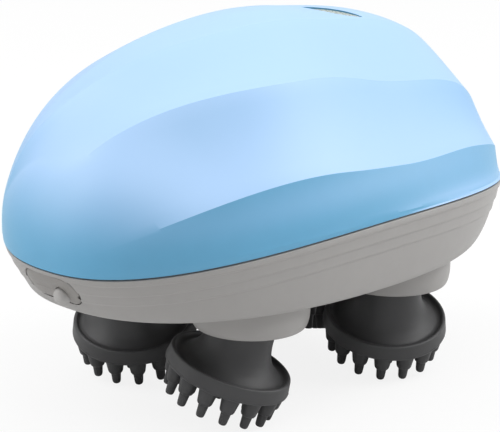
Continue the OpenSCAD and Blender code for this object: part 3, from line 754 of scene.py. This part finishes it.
def finish_of(name, rgb, rough, vary=0.03, grain=0.03, metal=0.0, spec=0.5, coat=0.0,
              alpha=None, up=None):
    """Plastic, metal or rubber with clouds of colour and a fine grain; up paints a sheen: upward
    faces get a paler colour.
    """
    m = bpy.data.materials.new(name)
    m.use_nodes = True
    nt = m.node_tree
    b = nt.nodes["Principled BSDF"]
    b.inputs["Metallic"].default_value = metal
    b.inputs["Specular IOR Level"].default_value = spec
    b.inputs["Coat Weight"].default_value = coat
    b.inputs["Coat Roughness"].default_value = 0.25
    if alpha is not None:
        b.inputs["Transmission Weight"].default_value = alpha
    where = nt.nodes.new("ShaderNodeTexCoord")
    cloud = nt.nodes.new("ShaderNodeTexNoise")
    cloud.inputs["Scale"].default_value = CLOUD_SCALE
    cloud.inputs["Detail"].default_value = 3.0
    nt.links.new(where.outputs["Object"], cloud.inputs["Vector"])
    ramp = nt.nodes.new("ShaderNodeValToRGB")
    low = [max(0, lin(c) * (1 - vary)) for c in rgb]
    high = [min(1, lin(c) * (1 + vary)) for c in rgb]
    ramp.color_ramp.elements[0].position = 0.3
    ramp.color_ramp.elements[0].color = (*low, 1)
    ramp.color_ramp.elements[1].position = 0.7
    ramp.color_ramp.elements[1].color = (*high, 1)
    nt.links.new(cloud.outputs["Fac"], ramp.inputs["Fac"])
    nt.links.new(ramp.outputs["Color"], b.inputs["Base Color"])
    if up:
        # painted sheen: faces that look up get a paler colour in place of the overhead light's
        # sheen
        axes = nt.nodes.new("ShaderNodeSeparateXYZ")
        nt.links.new(where.outputs["Normal"], axes.inputs["Vector"])
        painted_sheen_mask = nt.nodes.new("ShaderNodeMapRange")
        painted_sheen_mask.interpolation_type = "SMOOTHSTEP"
        painted_sheen_mask.inputs["From Min"].default_value = 0.0
        painted_sheen_mask.inputs["From Max"].default_value = SHEEN_PAINT_FULL
        nt.links.new(axes.outputs["Z"], painted_sheen_mask.inputs["Value"])
        mix = nt.nodes.new("ShaderNodeMix")
        mix.data_type = "RGBA"
        mix.inputs[7].default_value = (*[lin(c) for c in up], 1)
        nt.links.new(painted_sheen_mask.outputs["Result"], mix.inputs[0])
        nt.links.new(ramp.outputs["Color"], mix.inputs[6])
        nt.links.new(mix.outputs[2], b.inputs["Base Color"])
    dust = nt.nodes.new("ShaderNodeTexNoise")
    dust.inputs["Scale"].default_value = GRAIN_SCALE
    dust.inputs["Detail"].default_value = 2.0
    nt.links.new(where.outputs["Object"], dust.inputs["Vector"])
    span = nt.nodes.new("ShaderNodeMapRange")
    span.inputs["To Min"].default_value = max(0.02, rough - ROUGH_SPREAD)
    span.inputs["To Max"].default_value = min(1.0, rough + ROUGH_SPREAD)
    nt.links.new(dust.outputs["Fac"], span.inputs["Value"])
    nt.links.new(span.outputs["Result"], b.inputs["Roughness"])
    bump = nt.nodes.new("ShaderNodeBump")
    bump.inputs["Strength"].default_value = grain
    bump.inputs["Distance"].default_value = 0.0002
    nt.links.new(dust.outputs["Fac"], bump.inputs["Height"])
    nt.links.new(bump.outputs["Normal"], b.inputs["Normal"])
    return m


FINISH = {
    # the up colour is painted sheen: the dome's upward faces are paler, whatever the light
    "blue_shell": finish_of("blue_soft_touch_painted_sheen", (87, 155, 192), 0.42, vary=0.012, grain=0.02,
                            up=(163, 197, 235)),
    "grey_shell": finish_of("grey_shell_plastic", (148, 146, 144), 0.48, vary=0.015, grain=0.03),
    "seal": finish_of("seal_rubber", (118, 122, 126), 0.7),
    "lens": finish_of("smoke_lens", (176, 188, 182), 0.28, vary=0.02, grain=0.01, alpha=0.25),
    "board": finish_of("board_resin", (40, 96, 62), 0.45, vary=0.1),
    "panel_grey": finish_of("panel_plastic", (130, 127, 124), 0.5, vary=0.015, grain=0.03),
    "button_grey": finish_of("button_plastic", (162, 160, 158), 0.42, vary=0.015, grain=0.02),
    "silicone": finish_of("grey_silicone", (62, 62, 63), 0.48, vary=0.03, grain=0.04, spec=0.35),
    "core_plastic": finish_of("core_plastic", (70, 72, 76), 0.5),
    "steel": finish_of("ground_steel", (196, 198, 202), 0.3, metal=1.0),
    "acetal": finish_of("acetal", (236, 233, 222), 0.4),
    "bronze": finish_of("sintered_bronze", (176, 134, 78), 0.45, metal=0.9, vary=0.08),
    "plate_plastic": finish_of("plate_plastic", (214, 214, 210), 0.5),
    "motor_can": finish_of("plated_can", (186, 188, 192), 0.35, metal=1.0),
    "cell_wrap": finish_of("cell_wrap", (58, 92, 150), 0.35, coat=0.3),
    "screw_steel": finish_of("screw_steel", (150, 152, 158), 0.35, metal=1.0),
}


def dress(obj, name):
    obj.data.materials.clear()
    obj.data.materials.append(FINISH[name])
    return obj


# ------------------------------------------------------------------ build
dome, lens_seat = make_dome()
bowl = make_bowl()
panel, button_at = make_panel()
button = make_button(button_at)
seal = make_seal()
lens = make_lens(lens_seat)
heads = {k: make_head(k) for k in HEADS}

MADE = [(dome, "housing", "blue_shell"), (bowl, "housing", "grey_shell"),
        (panel, "housing", "panel_grey"), (button, "button", "button_grey"),
        (seal, "housing", "seal"), (lens, "housing", "lens")]
MADE += [(heads[k], "head_" + k + "_body", "silicone") for k in HEADS]
for obj, body, finish_name in MADE:
    dress(obj, finish_name)
    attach(obj, body)

KEPT = {
    "board": ["light_board", "switch_board", "circuit_board"],
    "core_plastic": ["core_a", "core_b", "core_c", "core_d", "battery_cradle"],
    "steel": ["spindle_a", "spindle_b", "spindle_c", "spindle_d_pin", "idler_a_shaft",
              "idler_b_shaft", "charge_socket"],
    "acetal": ["gear_a", "gear_b", "gear_c", "gear_d", "idler_a", "idler_b", "drive_wheel"],
    "bronze": ["spindle_bushes", "motor_pinion"],
    "plate_plastic": ["gear_plate"],
    "motor_can": ["motor", "motor_bracket"],
    "cell_wrap": ["battery"],
    "screw_steel": ["plate_screws", "shell_screws"],
}
for finish_name, names in KEPT.items():
    for n in names:
        dress(NODE[n], finish_name)


# ------------------------------------------------------------------ stage and light
def floor_finish():
    m = bpy.data.materials.new("pale_floor")
    m.use_nodes = True
    nt = m.node_tree
    nt.nodes.clear()
    out = nt.nodes.new("ShaderNodeOutputMaterial")
    mix = nt.nodes.new("ShaderNodeMixShader")
    dull = nt.nodes.new("ShaderNodeBsdfDiffuse")
    dull.inputs["Color"].default_value = (0.86, 0.86, 0.86, 1)
    glow = nt.nodes.new("ShaderNodeEmission")
    glow.inputs["Strength"].default_value = 1.0
    path = nt.nodes.new("ShaderNodeLightPath")
    share = nt.nodes.new("ShaderNodeMath")
    share.operation = "MULTIPLY"
    share.inputs[1].default_value = 0.86
    nt.links.new(path.outputs["Is Camera Ray"], share.inputs[0])
    nt.links.new(share.outputs["Value"], mix.inputs["Fac"])
    nt.links.new(dull.outputs["BSDF"], mix.inputs[1])
    nt.links.new(glow.outputs["Emission"], mix.inputs[2])
    nt.links.new(mix.outputs["Shader"], out.inputs["Surface"])
    return m


floor = new_object("studio_floor", [(-6, -6, 0), (6, -6, 0), (6, 6, 0), (-6, 6, 0)], [(0, 1, 2, 3)],
                   smooth=False, scale=1.0)
floor.data.materials.append(floor_finish())


def softbox(name, where, aim, size, power):
    data = bpy.data.lights.new(name, "AREA")
    data.shape = "RECTANGLE"
    data.size, data.size_y = size
    data.energy = power
    obj = bpy.data.objects.new(name, data)
    bpy.context.scene.collection.objects.link(obj)
    obj.location = where
    obj.rotation_euler = (Vector(aim) - Vector(where)).to_track_quat("-Z", "Y").to_euler()
    return obj


AIM = (0.0, 0.0, 0.045)
softbox("top_box", (0.0, -0.028, 0.845), AIM, (0.7, 0.7), 1.0)
softbox("back_top_box", (0.325, 0.325, 0.7), AIM, (0.9, 0.5), 1.06)
softbox("near_top_box", (-0.3, -0.3, 0.723), AIM, (0.7, 0.4), 1.9)
softbox("left_top_box", (-0.4, 0.4, 0.611), AIM, (0.5, 0.5), 2.9)
softbox("right_top_box", (0.4, -0.4, 0.611), AIM, (0.5, 0.5), 3.3)
softbox("left_box", (-0.592, 0.497, 0.252), AIM, (0.5, 0.4), 1.06)
softbox("right_box", (0.592, -0.497, 0.252), AIM, (0.5, 0.4), 1.5)

world = bpy.data.worlds.new("studio")
bpy.context.scene.world = world
world.use_nodes = True
wt = world.node_tree
wt.nodes.clear()
w_out = wt.nodes.new("ShaderNodeOutputWorld")
w_bg = wt.nodes.new("ShaderNodeBackground")
w_path = wt.nodes.new("ShaderNodeLightPath")
w_any = wt.nodes.new("ShaderNodeMath")
w_any.operation = "MAXIMUM"
w_any2 = wt.nodes.new("ShaderNodeMath")
w_any2.operation = "MAXIMUM"
w_span = wt.nodes.new("ShaderNodeMapRange")
w_span.inputs["To Min"].default_value = 0.32
w_span.inputs["To Max"].default_value = 1.0
wt.links.new(w_path.outputs["Is Camera Ray"], w_any.inputs[0])
wt.links.new(w_path.outputs["Is Glossy Ray"], w_any.inputs[1])
wt.links.new(w_any.outputs["Value"], w_any2.inputs[0])
wt.links.new(w_path.outputs["Is Transmission Ray"], w_any2.inputs[1])
wt.links.new(w_any2.outputs["Value"], w_span.inputs["Value"])
wt.links.new(w_span.outputs["Result"], w_bg.inputs["Strength"])
wt.links.new(w_bg.outputs["Background"], w_out.inputs["Surface"])
bpy.context.scene.view_settings.view_transform = "Standard"


# ------------------------------------------------------------------ where the points show
def shown(obj, deps):
    """Pixels of the finished vertices that nothing hides from the camera."""
    ev = obj.evaluated_get(deps)
    me = ev.to_mesh()
    eye = CAM_M.translation
    pts = []
    for v in me.vertices:
        p = ev.matrix_world @ v.co
        way = p - eye
        hit = bpy.context.scene.ray_cast(deps, eye, way.normalized(), distance=way.length - 0.0003)
        if not hit[0]:
            pts.append(to_pixel(p))
    ev.to_mesh_clear()
    return np.array(pts)


def body_pixel(p):
    return to_pixel(Vector((p[0] + BODY_X, p[1], p[2])) * MM)


def ridge_line(i):
    """Projected line of the ridge i on the near side, from the finished rows."""
    return [body_pixel(flute_pt(station(j, HALF_L), i, 0.0)) for j in range(1, NX)]


def line_y(line, x):
    for a, b in zip(line[:-1], line[1:]):
        if (a[0] - x) * (b[0] - x) <= 0 and a[0] != b[0]:
            return a[1] + (b[1] - a[1]) * (x - a[0]) / (b[0] - a[0])
    return None


def report_points():
    deps = bpy.context.evaluated_depsgraph_get()
    pix = {o.name: shown(o, deps) for o, _, _ in MADE}
    every = np.vstack(list(pix.values()))
    found = {
        "left_edge": (every[:, 0].min(), None),
        "right_edge": (every[:, 0].max(), None),
        "top_edge": (None, every[:, 1].min()),
        "bottom_edge": (None, every[:, 1].max()),
    }
    for name, i, in (("low", 1), ("mid", 2), ("top", 3)):
        line = ridge_line(i)
        px = POINTS[name + "_ridge_mid"][0]
        found[name + "_ridge_mid"] = (px, line_y(line, px))
        # the nearest place of the ridge line, so never further off than the corner itself
        corner = POINTS[name + "_ridge_corner"]
        near = min(line, key=lambda q: math.hypot(q[0] - corner[0], q[1] - corner[1]))
        found[name + "_ridge_corner"] = near
    seam = [body_pixel(p) for p in ring(0, 0)[:NX]]
    for name in ("seam_front", "seam_mid", "seam_rear"):
        px = POINTS[name][0]
        found[name] = (px, line_y(seam, px))
    found["lens"] = tuple((pix["lens_cap"].min(0) + pix["lens_cap"].max(0)) / 2)
    found["button"] = tuple((pix["button_cap"].min(0) + pix["button_cap"].max(0)) / 2)
    found["panel_right_end"] = (pix["panel_plate"][:, 0].max(), None)
    found["near_front_head_left"] = (pix["head_skin_a"][:, 0].min(), None)
    found["near_front_head_bottom"] = (None, pix["head_skin_a"][:, 1].max())
    found["near_rear_head_right"] = (pix["head_skin_b"][:, 0].max(), None)
    for name, want in POINTS.items():
        got = found.get(name)
        if got is None:
            continue


report_points()
